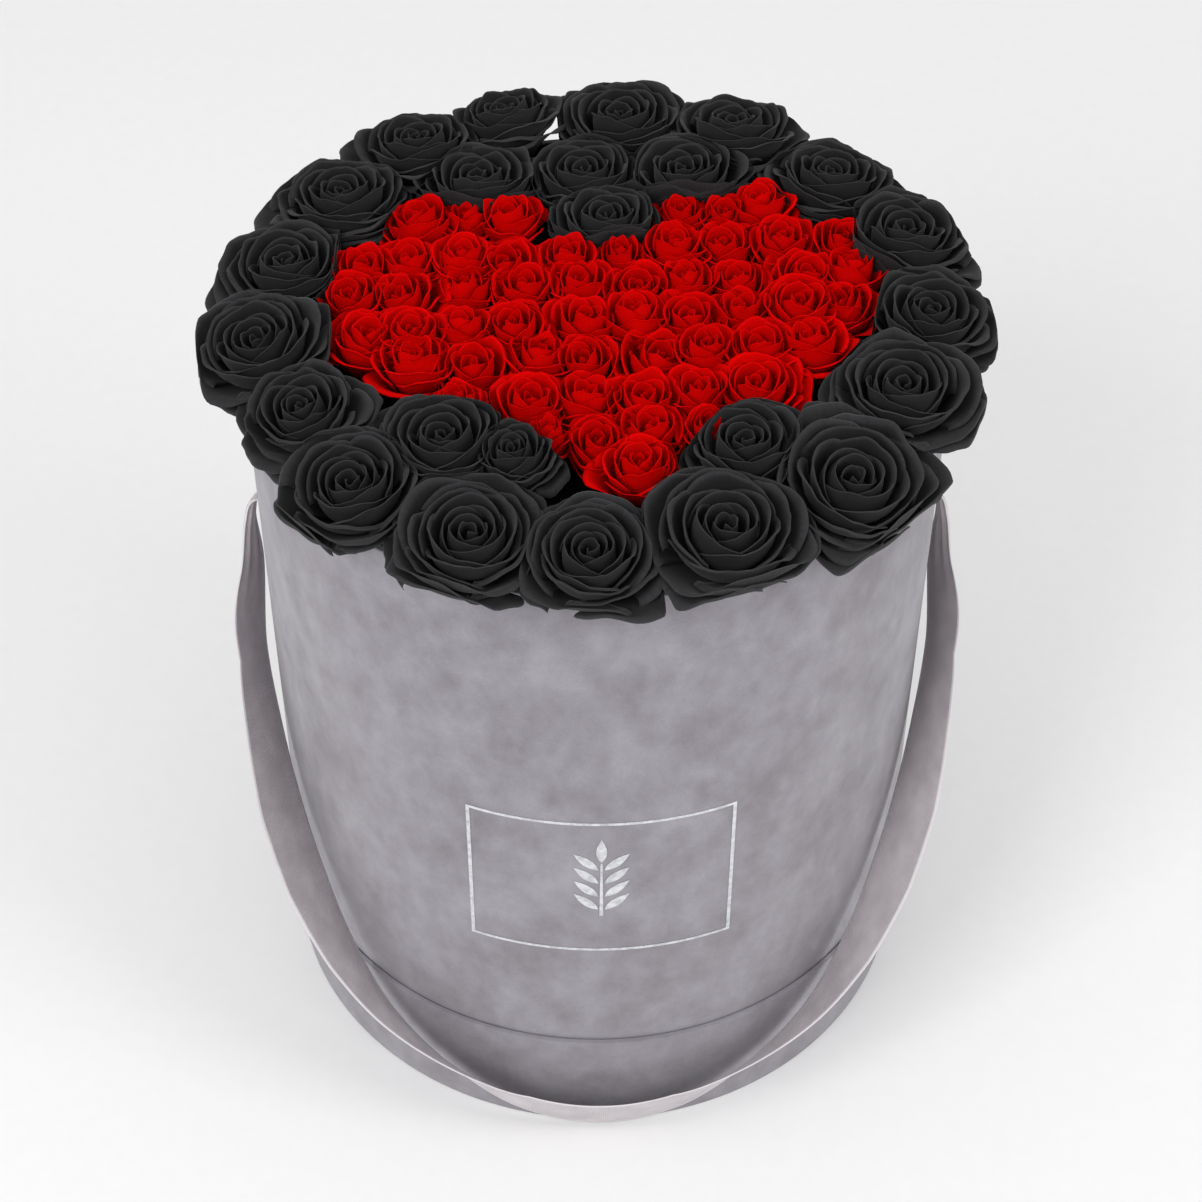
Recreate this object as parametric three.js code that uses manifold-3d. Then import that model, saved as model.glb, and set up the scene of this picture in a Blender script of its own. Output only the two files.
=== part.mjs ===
// Round flower box: a tall velour-covered hat box that stands in its own upturned lid,
// with a ribbon handle and a heart of red rose heads set in a ring of black ones.
// Units are millimetres. Z points up, the front faces -Y, and the ribbon holes are on X.
// The origin is the middle of the lid's underside, on the surface that the box stands on.

import * as THREE from 'three';
import { mergeVertices } from 'three/addons/utils/BufferGeometryUtils.js';
import Module from 'manifold-3d';

const wasm = await Module();
wasm.setup();

// ---- Overall sizes ----
const boxRadius = 170; // outside of the box, over the velour
const boxHeight = 398.5; // from the box's underside to its rim
const lidHeight = 71; // from the standing surface to the lid's open edge

// ---- Sheet thicknesses and clearances ----
const coverThickness = 0.8; // velour with its backing
const paperThickness = 0.4; // black lining paper
const wallBoard = 2.2; // wound cardboard of the box wall
const lidBoard = 1.6; // thinner cardboard of the lid wall
const discBoard = 2.4; // flat cardboard discs
const layerGap = 0.3; // space between glued layers and touching pieces
const lidClearance = 0.5; // all round, between the box and the lid wall

// ---- Inside the box ----
const spacerRadius = 120; // cardboard tube that carries the false floor
const spacerWall = 2.4;
const falseFloorDrop = 40; // from the rim down to the underside of the false floor
const falseFloorThickness = 3;
const foamDrop = 5; // from the rim down to the top of the flower foam
const foamClearance = 0.6; // all round, between the foam and the lining

// ---- Ribbon handle ----
const holeDrop = 98; // from the rim to the ribbon holes, which stay clear of the lid put on top
const holeRadius = 6;
const ribbonWidth = 38;
const ribbonThickness = 1;
const gatheredWidth = 8; // the ribbon's width where it is bunched in a hole
const gatherLength = 55; // from the hole to where it has opened to its full width
const knotRadius = 9;

// ---- Foil print on the front ----
const foilWidth = 131;
const foilHeight = 101;
const foilLine = 1.8;
const foilCentreHeight = 199;
const foilThickness = 0.3;
const sprigHeight = 62;
const sprigLeafPairs = 4;

// ---- Roses ----
const ringInset = 13; // from the outside of the box in to the ring of rose centres
const ringStart = -1.8; // degrees, first rose of the ring, measured from the front
const ringBlooms = [52, 66, 67, 61, 56, 60, 58, 60, 61, 50, 57, 58, 58, 59, 48, 58, 59]; // widths
const ringSetIn = [0, 0, 1, 6, 2, 0, 3, 1, 2, 0, 0, 6, 6, 2, 9, 0, 0]; // how far in from the ring
const blackHeight = 38; // from the foam to the top of a black rose
const redHeight = 37;
const stemRadius = 2;
const stemHoleClearance = 0.9;
const stemDepth = 15; // how deep a stem is pushed in the foam
const petalGap = 0.2; // each rose keeps this far inside the plane shared with its neighbour

// ---- The heart of red roses ----
const heartRows = 8;
const heartShift = 5; // the heart's middle lies this far to the right of the box's axis
const heartTurn = 4.5; // degrees, anticlockwise from above
const heartMargin = 21; // from the ring of centres in to the heart's widest point
const heartTipMargin = 17; // from the ring of centres in to the heart's tip
const lobeShare = 0.47; // how far out each lobe's centre is, as a share of the half width
const redPitch = 27.5; // the spacing of red roses along a row, about
const redDrift = 3.2; // how far a red rose may stand off its even place
const redDriftStep = 12.9; // radians from one rose's drift to the next, so that no pattern shows
const filledGap = 0.35; // a gap between lobes under twice this share of the pitch is filled

// ---- How finely round pieces are divided ----
const tubeSides = 40;
const holeSides = 10;
const stemHoleSides = 5;
const blackSides = 8;
const redSides = 6;
const ribbonStepsPerStop = 3;
const ribbonStrips = 4; // across its width, so that the twisted band stays as thick as it should

// ---- Heights and radii worked out from the sizes above ----
const lidDiscBottom = coverThickness + layerGap;
const lidDiscTop = lidDiscBottom + discBoard;
const lidLiningTop = lidDiscTop + layerGap + paperThickness;
const boxBottom = lidLiningTop + layerGap;
const rim = boxBottom + boxHeight;
const baseDiscBottom = boxBottom + coverThickness + layerGap;
const baseDiscTop = baseDiscBottom + discBoard;
const floorLiningTop = baseDiscTop + layerGap + paperThickness;
const falseFloorBottom = rim - falseFloorDrop;
const foamBottom = falseFloorBottom + falseFloorThickness + layerGap;
const foamTop = rim - foamDrop;
const holeHeight = rim - holeDrop;

const tubeOuter = boxRadius - coverThickness - layerGap;
const tubeInner = tubeOuter - wallBoard;
const liningOuter = tubeInner - layerGap;
const liningInner = liningOuter - paperThickness;
const bandInner = boxRadius + lidClearance;
const bandOuter = bandInner + lidBoard;
const lidCoverInner = bandOuter + layerGap;
const lidRadius = lidCoverInner + coverThickness;
const ringRadius = boxRadius - ringInset;

const flowerBox = new THREE.Group();

// ---- Materials: each mesh gets one of its own ----
const finishes = {
  velour: { color: 0x9d99a1, roughness: 0.95, metalness: 0 },
  board: { color: 0xb9a78c, roughness: 0.9, metalness: 0 },
  blackPaper: { color: 0x17171a, roughness: 0.8, metalness: 0 },
  foam: { color: 0x1c1c1e, roughness: 1, metalness: 0 },
  foil: { color: 0xd0d2d6, roughness: 0.25, metalness: 1 },
  ribbon: { color: 0xa9a2a6, roughness: 0.6, metalness: 0 },
  blackRose: { color: 0x2e2e30, roughness: 0.8, metalness: 0 },
  redRose: { color: 0xc40000, roughness: 0.8, metalness: 0 },
};

function addMesh(name, geometry, finish) {
  const mesh = new THREE.Mesh(geometry, new THREE.MeshStandardMaterial(finishes[finish]));
  mesh.name = name;
  flowerBox.add(mesh);
}

// ---- Solids ----
// A closed geometry becomes a manifold solid once its shared vertices are merged.
function toSolid(geometry) {
  const bare = geometry.clone();
  bare.deleteAttribute('normal');
  bare.deleteAttribute('uv');
  const merged = mergeVertices(bare, 1e-4);
  const vertProperties = new Float32Array(merged.attributes.position.array);
  const triVerts = new Uint32Array(merged.index.array);
  return new wasm.Manifold(new wasm.Mesh({ numProp: 3, vertProperties, triVerts }));
}

function toGeometry(solid) {
  const mesh = solid.getMesh();
  const geometry = new THREE.BufferGeometry();
  geometry.setAttribute('position', new THREE.BufferAttribute(mesh.vertProperties, 3));
  geometry.setIndex(new THREE.BufferAttribute(mesh.triVerts, 1));
  geometry.computeVertexNormals();
  return geometry;
}

// A shape turned about Z from a profile of [radius, height] points.
function turned(profile, sides) {
  const points = profile.map(([radius, height]) => new THREE.Vector2(radius, height));
  return new THREE.LatheGeometry(points, sides).rotateX(Math.PI / 2);
}

function tube(inner, outer, bottom, top) {
  return turned([[inner, bottom], [outer, bottom], [outer, top], [inner, top], [inner, bottom]], tubeSides);
}

function disc(radius, bottom, top) {
  return turned([[0, bottom], [radius, bottom], [radius, top], [0, top]], tubeSides);
}

// A cover that lines the outside of a wall and is turned in over its edge as far as a radius.
function turnedCover(inner, outer, bottom, top, edgeRadius) {
  const underEdge = top - coverThickness;
  return turned([
    [inner, bottom],
    [outer, bottom],
    [outer, top],
    [edgeRadius, top],
    [edgeRadius, underEdge],
    [inner, underEdge],
    [inner, bottom],
  ], tubeSides);
}

// The two ribbon holes, as one bar along X that is cut from each layer of the wall.
const holeBar = toSolid(
  new THREE.CylinderGeometry(holeRadius, holeRadius, 3 * boxRadius, holeSides)
    .rotateZ(Math.PI / 2)
    .translate(0, 0, holeHeight),
);

function withRibbonHoles(geometry) {
  return toGeometry(toSolid(geometry).subtract(holeBar));
}

// ---- Lid, standing open side up under the box ----
const boardTop = lidHeight - coverThickness - layerGap;
addMesh('lid_disc_cover', disc(bandOuter, 0, coverThickness), 'velour');
addMesh('lid_disc', disc(bandInner - layerGap, lidDiscBottom, lidDiscTop), 'board');
addMesh('lid_lining', disc(bandInner - layerGap, lidDiscTop + layerGap, lidLiningTop), 'blackPaper');
addMesh('lid_band', tube(bandInner, bandOuter, lidDiscBottom, boardTop), 'board');
addMesh('lid_band_cover', turnedCover(lidCoverInner, lidRadius, 0, lidHeight, bandInner), 'velour');

// ---- Box ----
const tubeTop = rim - coverThickness - layerGap;
addMesh('box_base_cover', disc(tubeOuter, boxBottom, boxBottom + coverThickness), 'velour');
addMesh('box_base_disc', disc(tubeInner - layerGap, baseDiscBottom, baseDiscTop), 'board');
addMesh('box_floor_lining', disc(liningInner - layerGap, baseDiscTop + layerGap, floorLiningTop), 'blackPaper');
addMesh('box_tube', withRibbonHoles(tube(tubeInner, tubeOuter, baseDiscBottom, tubeTop)), 'board');
addMesh(
  'box_wall_cover',
  withRibbonHoles(turnedCover(tubeOuter + layerGap, boxRadius, boxBottom, rim, tubeInner)),
  'velour',
);
addMesh(
  'box_wall_lining',
  withRibbonHoles(tube(liningInner, liningOuter, baseDiscTop + layerGap, rim)),
  'blackPaper',
);
addMesh(
  'spacer_tube',
  tube(spacerRadius - spacerWall, spacerRadius, floorLiningTop + layerGap, falseFloorBottom - layerGap),
  'board',
);
addMesh('false_floor', disc(liningInner - layerGap, falseFloorBottom, foamBottom - layerGap), 'board');

// ---- Foil print: a plain frame and a leaf sprig, wrapped on the front of the wall ----
const foilInner = boxRadius + layerGap;
const foilSkin = toSolid(tube(foilInner, foilInner + foilThickness, boxBottom, rim));

// A flat outline in the XZ plane is pushed through the front of the skin.
function foilPiece(shape) {
  const block = new THREE.ExtrudeGeometry(shape, { depth: 2 * boxRadius, bevelEnabled: false, curveSegments: 3 })
    .rotateX(Math.PI / 2)
    .translate(0, 0, foilCentreHeight);
  return foilSkin.intersect(toSolid(block));
}

function rectangle(Outline, width, height) {
  const outline = new Outline();
  outline.moveTo(-width / 2, -height / 2);
  outline.lineTo(width / 2, -height / 2);
  outline.lineTo(width / 2, height / 2);
  outline.lineTo(-width / 2, height / 2);
  outline.closePath();
  return outline;
}

const frameShape = rectangle(THREE.Shape, foilWidth, foilHeight);
frameShape.holes.push(rectangle(THREE.Path, foilWidth - 2 * foilLine, foilHeight - 2 * foilLine));
addMesh('foil_frame', toGeometry(foilPiece(frameShape)), 'foil');

// One leaf, from its foot on the stalk to its tip, bowed to both sides.
function leafShape(footX, footY, length, tilt) {
  const along = new THREE.Vector2(Math.cos(tilt), Math.sin(tilt));
  const across = new THREE.Vector2(-along.y, along.x);
  const foot = new THREE.Vector2(footX, footY);
  const tip = foot.clone().addScaledVector(along, length);
  const belly = foot.clone().addScaledVector(along, length * 0.45);
  const left = belly.clone().addScaledVector(across, length * 0.3);
  const right = belly.clone().addScaledVector(across, -length * 0.3);
  const leaf = new THREE.Shape();
  leaf.moveTo(foot.x, foot.y);
  leaf.quadraticCurveTo(right.x, right.y, tip.x, tip.y);
  leaf.quadraticCurveTo(left.x, left.y, foot.x, foot.y);
  return leaf;
}

const leafLength = sprigHeight * 0.3;
const stalkHeight = sprigHeight - leafLength;
const stalk = rectangle(THREE.Shape, foilLine, stalkHeight);
let sprig = foilPiece(stalk);
const leafSpacing = stalkHeight / sprigLeafPairs;
for (let pair = 0; pair < sprigLeafPairs; pair += 1) {
  const footY = -stalkHeight / 2 + leafSpacing * (pair + 0.5);
  for (const tilt of [Math.PI / 4, (3 * Math.PI) / 4]) {
    sprig = sprig.add(foilPiece(leafShape(0, footY, leafLength, tilt)));
  }
}
sprig = sprig.add(foilPiece(leafShape(0, stalkHeight / 2 - foilLine, leafLength, Math.PI / 2)));
addMesh('foil_sprig', toGeometry(sprig), 'foil');

// ---- Where the roses stand ----
// Angles run from the front towards +X. Each rose knows its place, its width and its node.
const roses = [];

function addRose(node, x, y, width, colour) {
  roses.push({ node, x, y, radius: width / 2, colour });
}

function addRoseAt(node, degrees, distance, width) {
  const angle = THREE.MathUtils.degToRad(degrees);
  addRose(node, distance * Math.sin(angle), -distance * Math.cos(angle), width, 'blackRose');
}

// The outer ring: every rose takes a share of the circle that goes by its width.
const ringTotal = ringBlooms.reduce((sum, width) => sum + width, 0);
const ringScale = (2 * Math.PI * ringRadius) / ringTotal;
const crowding = 1.1; // soft blooms are wider than the room they get
let ringAngle = ringStart - (ringBlooms[0] / ringTotal) * 180;
ringBlooms.forEach((width, index) => {
  const share = (width / ringTotal) * 360;
  const node = `black_rose_ring_${String(index + 1).padStart(2, '0')}`;
  const distance = ringRadius - ringSetIn[index];
  addRoseAt(node, ringAngle + share / 2, distance, width * ringScale * crowding);
  ringAngle += share;
});

// Black roses inside the ring: three along the back, one in the heart's notch, and two beside
// its tip, the left one with a bud next to it.
const innerBloom = 50;
const budWidth = 36;
addRoseAt('black_rose_back_left', -150, ringRadius - 43, innerBloom);
addRoseAt('black_rose_back_middle', -178, ringRadius - 50, innerBloom);
addRoseAt('black_rose_back_right', 156, ringRadius - 43, innerBloom);
addRoseAt('black_rose_notch', 174, ringRadius - 90, innerBloom);
addRoseAt('black_rose_front_left', -37, ringRadius - 42, innerBloom);
addRoseAt('black_rose_front_bud', -20, ringRadius - 50, budWidth);
addRoseAt('black_rose_front_right', 34, ringRadius - 40, innerBloom);

// The heart: rows of red roses between the two lobes' round tops and the tip.
const heartHalfWidth = ringRadius - heartMargin;
const lobeOffset = heartHalfWidth * lobeShare;
const lobeRadius = heartHalfWidth - lobeOffset;
const lobeHeight = lobeRadius * 0.25;
const tipHeight = heartTipMargin - ringRadius;
const edgeInset = redPitch * 0.53;
const topRow = lobeHeight + lobeRadius - edgeInset * 1.3;
const bottomRow = tipHeight + edgeInset * 1.9;
const rowPitch = (topRow - bottomRow) / (heartRows - 1);
const redWidth = rowPitch * 1.36;

// The stretches of a row that lie inside the heart, as [node, left end, right end].
function rowSpans(row, height) {
  const node = `red_roses_row_${row + 1}`;
  if (height < lobeHeight) {
    const share = (lobeHeight - height) / (lobeHeight - tipHeight);
    const half = heartHalfWidth * Math.cos((share * Math.PI) / 2) ** 1.5 - edgeInset;
    return [[node, -half, half]];
  }
  const reach = lobeRadius - edgeInset;
  const half = Math.sqrt(reach ** 2 - (height - lobeHeight) ** 2);
  if (lobeOffset - half < redPitch * filledGap) {
    return [[node, -lobeOffset - half, lobeOffset + half]];
  }
  return [
    [`${node}_left`, -lobeOffset - half, -lobeOffset + half],
    [`${node}_right`, lobeOffset - half, lobeOffset + half],
  ];
}

const heartAngle = THREE.MathUtils.degToRad(heartTurn);

// A short stretch takes one rose in its middle; a longer one is filled from end to end.
function stepsAlong(span) {
  return span < redPitch * 0.7 ? 0 : Math.ceil(span / redPitch - 0.15);
}

// Hand-set roses stand unevenly. The drift of a rose is the same each time it is worked out.
function drift(number) {
  return redDrift * Math.sin(number * redDriftStep);
}

for (let row = 0; row < heartRows; row += 1) {
  const height = topRow - row * rowPitch;
  for (const [node, left, right] of rowSpans(row, height)) {
    const steps = stepsAlong(right - left);
    for (let step = 0; step <= steps; step += 1) {
      const x = steps > 0 ? left + ((right - left) * step) / steps : (left + right) / 2;
      const place = new THREE.Vector2(x, height).rotateAround(new THREE.Vector2(), heartAngle);
      const number = roses.length;
      addRose(node, heartShift + place.x + drift(number), place.y + drift(number + 0.5), redWidth, 'redRose');
    }
  }
}

// ---- Rose heads ----
// Outlines from the foot of the stem to the middle of the bloom, heights above the foam.
function roseProfile(rose) {
  const wide = rose.radius;
  const tall = rose.colour === 'redRose' ? redHeight : blackHeight;
  const calyx = Math.min(8, wide * 0.5);
  return [
    [0, -stemDepth],
    [stemRadius, -stemDepth],
    [stemRadius, layerGap],
    [calyx, foamDrop + 1],
    [wide, tall * 0.45],
    [wide * 0.85, tall * 0.88],
    [0, tall],
  ];
}

// Everything beyond the plane that a rose shares with its neighbour.
function beyondSharedPlane(rose, other) {
  const dx = other.x - rose.x;
  const dy = other.y - rose.y;
  const distance = Math.hypot(dx, dy);
  const plane = (distance * rose.radius) / (rose.radius + other.radius) - petalGap;
  const size = 4 * Math.max(rose.radius, blackHeight);
  return toSolid(
    new THREE.BoxGeometry(size, size, size)
      .translate(size / 2 + plane, 0, 0)
      .rotateZ(Math.atan2(dy, dx))
      .translate(rose.x, rose.y, foamTop),
  );
}

function roseSolid(rose) {
  const sides = rose.colour === 'redRose' ? redSides : blackSides;
  let solid = toSolid(turned(roseProfile(rose), sides).translate(rose.x, rose.y, foamTop));
  for (const other of roses) {
    const distance = Math.hypot(other.x - rose.x, other.y - rose.y);
    if (other.node !== rose.node && distance < rose.radius + other.radius) {
      solid = solid.subtract(beyondSharedPlane(rose, other));
    }
  }
  return solid;
}

const roseNodes = new Map();
for (const rose of roses) {
  const solid = roseSolid(rose);
  const row = roseNodes.get(rose.node);
  roseNodes.set(rose.node, { solid: row ? row.solid.add(solid) : solid, colour: rose.colour });
}
for (const [node, { solid, colour }] of roseNodes) {
  addMesh(node, toGeometry(solid), colour);
}

// ---- Flower foam, with a hole for every stem ----
let foam = toSolid(disc(liningInner - foamClearance, foamBottom, foamTop));
for (const rose of roses) {
  const radius = stemRadius + stemHoleClearance;
  const depth = 2 * (stemDepth + layerGap);
  foam = foam.subtract(
    toSolid(
      new THREE.CylinderGeometry(radius, radius, depth, stemHoleSides)
        .rotateX(Math.PI / 2)
        .translate(rose.x, rose.y, foamTop),
    ),
  );
}
addMesh('flower_foam', toGeometry(foam), 'foam');

// ---- Ribbon handle ----
// The route on the +X side, from inside the hole down to the front. It runs half the gathered
// width in from the ribbon's lower edge, so a wider ribbon opens upwards and off the wall.
// Each stop is the angle from the front in degrees, the distance off the box wall,
// the height as a share of the hole's, and the lean of the band out of the wall in degrees.
const ribbonStops = [
  [90, -4.3, 1, 20],
  [90, 3, 1, 20],
  [90.2, 6, 0.957, 22],
  [89.3, 4.5, 0.865, 23],
  [82.3, 5.9, 0.729, 22],
  [74.2, 4.8, 0.618, 35],
  [65.5, 5.2, 0.509, 48],
  [56.9, 6.3, 0.402, 53],
  [48.1, 8, 0.295, 49],
  [38.6, 9.2, 0.196, 40],
  [27.3, 8.4, 0.114, 32],
  [14.4, 8.5, 0.049, 23],
  [0, 8.2, 0.024, 22],
];
const holeRise = 0.02; // share of upward that says which way the band faces inside its hole

function ribbonPoint([degrees, offWall, share], side) {
  const angle = THREE.MathUtils.degToRad(degrees) * side;
  const radius = boxRadius + offWall;
  return new THREE.Vector3(radius * Math.sin(angle), -radius * Math.cos(angle), holeHeight * share);
}

const leftStops = ribbonStops.map((stop) => ribbonPoint(stop, -1));
const rightStops = ribbonStops.slice(0, -1).reverse().map((stop) => ribbonPoint(stop, 1));
const leans = ribbonStops.map((stop) => stop[3]);
const allLeans = [...leans, ...leans.slice(0, -1).reverse()];
const route = new THREE.CatmullRomCurve3([...leftStops, ...rightStops], false, 'centripetal');
const routeSteps = (allLeans.length - 1) * ribbonStepsPerStop;

// The band is a long thin box whose cross-sections are moved along the route.
const band = new THREE.BoxGeometry(1, 1, 1, routeSteps, ribbonStrips, 1);
const bandPoints = band.attributes.position;
for (let index = 0; index < bandPoints.count; index += 1) {
  const share = THREE.MathUtils.clamp(bandPoints.getX(index) + 0.5, 0, 1);
  const middle = route.getPoint(share);
  const tangent = route.getTangent(share);
  const stop = share * (allLeans.length - 1);
  const before = Math.min(Math.floor(stop), allLeans.length - 2);
  const lean = THREE.MathUtils.degToRad(
    THREE.MathUtils.lerp(allLeans[before], allLeans[before + 1], stop - before),
  );
  const outward = new THREE.Vector3(middle.x, middle.y, 0).normalize().setZ(holeRise);
  outward.addScaledVector(tangent, -outward.dot(tangent)).normalize();
  const upward = outward.clone().cross(tangent);
  const across = upward.clone().multiplyScalar(Math.cos(lean)).addScaledVector(outward, Math.sin(lean));
  const facing = tangent.clone().cross(across);
  const fromHole = Math.min(middle.distanceTo(leftStops[0]), middle.distanceTo(rightStops.at(-1)));
  const opened = THREE.MathUtils.smoothstep(fromHole, 0, gatherLength);
  const width = THREE.MathUtils.lerp(gatheredWidth, ribbonWidth, opened);
  middle.addScaledVector(across, bandPoints.getY(index) * width + (width - gatheredWidth) / 2);
  middle.addScaledVector(facing, bandPoints.getZ(index) * ribbonThickness);
  bandPoints.setXYZ(index, middle.x, middle.y, middle.z);
}
band.computeVertexNormals();
addMesh('ribbon', band, 'ribbon');

// Knots inside the wall that keep the ribbon's ends from pulling through.
const knotReach = boxRadius + ribbonStops[0][1] - layerGap - knotRadius;
for (const [name, side] of [['knot_left', -1], ['knot_right', 1]]) {
  const knot = new THREE.SphereGeometry(knotRadius, 10, 7).translate(side * knotReach, 0, holeHeight);
  addMesh(name, knot, 'ribbon');
}

export default flowerBox;
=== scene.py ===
# Round flower box in mottled velour, standing in its own lid, with a hanging ribbon handle
# and a heart of red rose heads set in a ring of black ones. Everything is in metres.

import math
import bpy
import numpy as np
from mathutils import Matrix, Vector


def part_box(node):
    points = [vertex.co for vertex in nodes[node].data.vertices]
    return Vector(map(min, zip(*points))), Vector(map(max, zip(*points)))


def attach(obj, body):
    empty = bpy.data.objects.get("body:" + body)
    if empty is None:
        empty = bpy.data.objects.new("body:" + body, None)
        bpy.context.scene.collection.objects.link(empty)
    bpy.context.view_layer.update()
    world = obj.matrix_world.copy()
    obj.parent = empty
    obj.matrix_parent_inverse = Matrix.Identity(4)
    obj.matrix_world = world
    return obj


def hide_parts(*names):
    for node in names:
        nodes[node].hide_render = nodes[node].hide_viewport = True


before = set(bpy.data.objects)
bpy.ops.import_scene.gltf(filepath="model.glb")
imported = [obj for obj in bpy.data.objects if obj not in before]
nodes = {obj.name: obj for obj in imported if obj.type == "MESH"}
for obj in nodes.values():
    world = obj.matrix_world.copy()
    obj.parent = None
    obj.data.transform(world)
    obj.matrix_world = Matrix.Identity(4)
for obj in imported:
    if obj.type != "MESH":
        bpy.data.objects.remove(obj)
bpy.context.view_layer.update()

# ---- Camera ----
# A long lens, high in front of the box, looking down at the flowers.
# It leans by a quarter of a degree, and the box sits in the middle of the view.
camera_place = Vector((-0.0160, -0.9597, 1.2140))
camera_target = Vector((0.0024, 0.0, 0.2272))
camera_lean = math.radians(0.2588)

camera = bpy.data.objects.new("camera", bpy.data.cameras.new("camera"))
bpy.context.collection.objects.link(camera)
camera.data.sensor_width = 36
camera.data.lens = 77.79
sight = (camera_target - camera_place).to_track_quat("-Z", "Y").to_matrix()
sight = sight @ Matrix.Rotation(camera_lean, 3, "Z")
camera.matrix_world = Matrix.Translation(camera_place) @ sight.to_4x4()
bpy.context.scene.camera = camera
bpy.context.scene.view_settings.view_transform = "Standard"


# ---- Table and light ----
# A white table top runs on past the view, under a bright even sky.
# One wide lamp stands over the front left, and a weaker one on the right.
class Wire:
    """A value or colour inside a finish. Sums, products and comparisons on it add Math nodes."""

    def __init__(self, finish, socket):
        self.finish = finish
        self.socket = socket

    def maths(self, operation, first, second):
        return self.finish.add("ShaderNodeMath", {"operation": operation}, {0: first, 1: second})

    def __add__(self, other):
        return self.maths("ADD", self, other)

    def __mul__(self, other):
        return self.maths("MULTIPLY", self, other)

    def __gt__(self, other):
        return self.maths("GREATER_THAN", self, other)

    def __lt__(self, other):
        return self.maths("LESS_THAN", self, other)


class Finish:
    """A material made of one Principled shader and the nodes that feed it."""

    def __init__(self, name, **fixed):
        self.material = bpy.data.materials.new(name)
        self.material.use_nodes = True
        self.tree = self.material.node_tree
        self.shader = self.tree.nodes["Principled BSDF"]
        for socket, value in fixed.items():
            self.feed(socket.replace("_", " "), value)

    def put(self, socket, value):
        if isinstance(value, Wire):
            self.tree.links.new(value.socket, socket)
        else:
            socket.default_value = value

    def feed(self, socket, value):
        self.put(self.shader.inputs[socket], value)

    def add(self, kind, settings, sockets, output=0):
        node = self.tree.nodes.new(kind)
        for name, value in settings.items():
            setattr(node, name, value)
        for key, value in sockets.items():
            self.put(node.inputs[key], value)
        return Wire(self, node.outputs[output])

    def place(self):
        return self.add("ShaderNodeTexCoord", {}, {}, "Object")

    def stretched(self, where, scale):
        return self.add("ShaderNodeMapping", {}, {"Vector": where, "Scale": scale})

    def part(self, where, axis):
        return self.add("ShaderNodeSeparateXYZ", {}, {"Vector": where}, axis)

    def noise(self, where, scale, detail=2.0, roughness=0.5):
        return self.add("ShaderNodeTexNoise", {},
                        {"Vector": where, "Scale": scale, "Detail": detail, "Roughness": roughness})

    def between(self, value, low, high, to_low=0.0, to_high=1.0):
        ends = {"From Min": low, "From Max": high, "To Min": to_low, "To Max": to_high}
        return self.add("ShaderNodeMapRange", {}, {"Value": value, **ends})

    def blend(self, share, first, second):
        return self.add("ShaderNodeMix", {"data_type": "RGBA"}, {0: share, 6: first, 7: second}, 2)

    def bump(self, height, strength, distance):
        self.feed("Normal", self.add("ShaderNodeBump", {},
                                     {"Height": height, "Strength": strength, "Distance": distance}))


def colour(red, green, blue):
    """A linear colour from the 0 to 255 values that a colour card gives."""
    shares = [c / 255 for c in (red, green, blue)]
    return tuple(s / 12.92 if s < 0.04045 else ((s + 0.055) / 1.055) ** 2.4 for s in shares) + (1.0,)


def deselect():
    if bpy.context.object and bpy.context.object.mode != "OBJECT":
        bpy.ops.object.mode_set(mode="OBJECT")
    bpy.ops.object.select_all(action="DESELECT")


def started(name):
    """The primitive that was just added, under its own name."""
    piece = bpy.context.object
    piece.name = piece.data.name = name
    return piece


table_white = Finish("table_white", Roughness=0.85)
table_grain = table_white.noise(table_white.place(), 90.0)
table_white.feed("Base Color", table_white.blend(table_grain, (0.90, 0.90, 0.90, 1), (0.93, 0.93, 0.93, 1)))

table_size = 12
table_gap = 0.0004
deselect()
bpy.ops.mesh.primitive_plane_add(size=table_size, location=(0, 0, -table_gap))
table = started("table")
table.data.materials.append(table_white.material)

sky = bpy.data.worlds.new("sky")
sky.use_nodes = True
sky.node_tree.nodes["Background"].inputs["Color"].default_value = (1, 1, 1, 1)
sky.node_tree.nodes["Background"].inputs["Strength"].default_value = 0.75
bpy.context.scene.world = sky


lamp_aim = Vector((0, 0, 0.25))


def softbox(name, place, size, power):
    lamp = bpy.data.objects.new(name, bpy.data.lights.new(name, "AREA"))
    lamp.data.shape = "SQUARE"
    lamp.data.size = size
    lamp.data.energy = power
    lamp.location = place
    lamp.rotation_euler = (lamp_aim - Vector(place)).to_track_quat("-Z", "Y").to_euler()
    bpy.context.collection.objects.link(lamp)


softbox("softbox_left", (-1.3, -1.6, 2.0), 1.2, 26)
softbox("softbox_right", (1.7, -0.9, 1.6), 1.0, 12)

# ---- Cardboard ----
# The box wall is wound grey-brown board, and the discs, spacer tube and false floor are
# made of the same board. They are glued together, and show only when taken apart.
cardboard = Finish("cardboard", Roughness=0.92, Specular_IOR_Level=0.2)
board_place = cardboard.place()
board_fibre = cardboard.noise(cardboard.stretched(board_place, (1, 1, 0.12)), 420.0, 4.0, 0.6)
board_cloud = cardboard.noise(board_place, 26.0, 3.0)
board_tone = cardboard.between(board_fibre * 0.6 + board_cloud * 0.4, 0.3, 0.7)
cardboard.feed("Base Color", cardboard.blend(board_tone, colour(158, 138, 108), colour(196, 178, 146)))
cardboard.bump(board_fibre, 0.35, 0.0002)


def cover_node(name, finish):
    nodes[name].data.materials.clear()
    nodes[name].data.materials.append(finish.material)


for name in ("lid_disc", "box_base_disc", "box_tube", "spacer_tube", "false_floor"):
    cover_node(name, cardboard)

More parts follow.
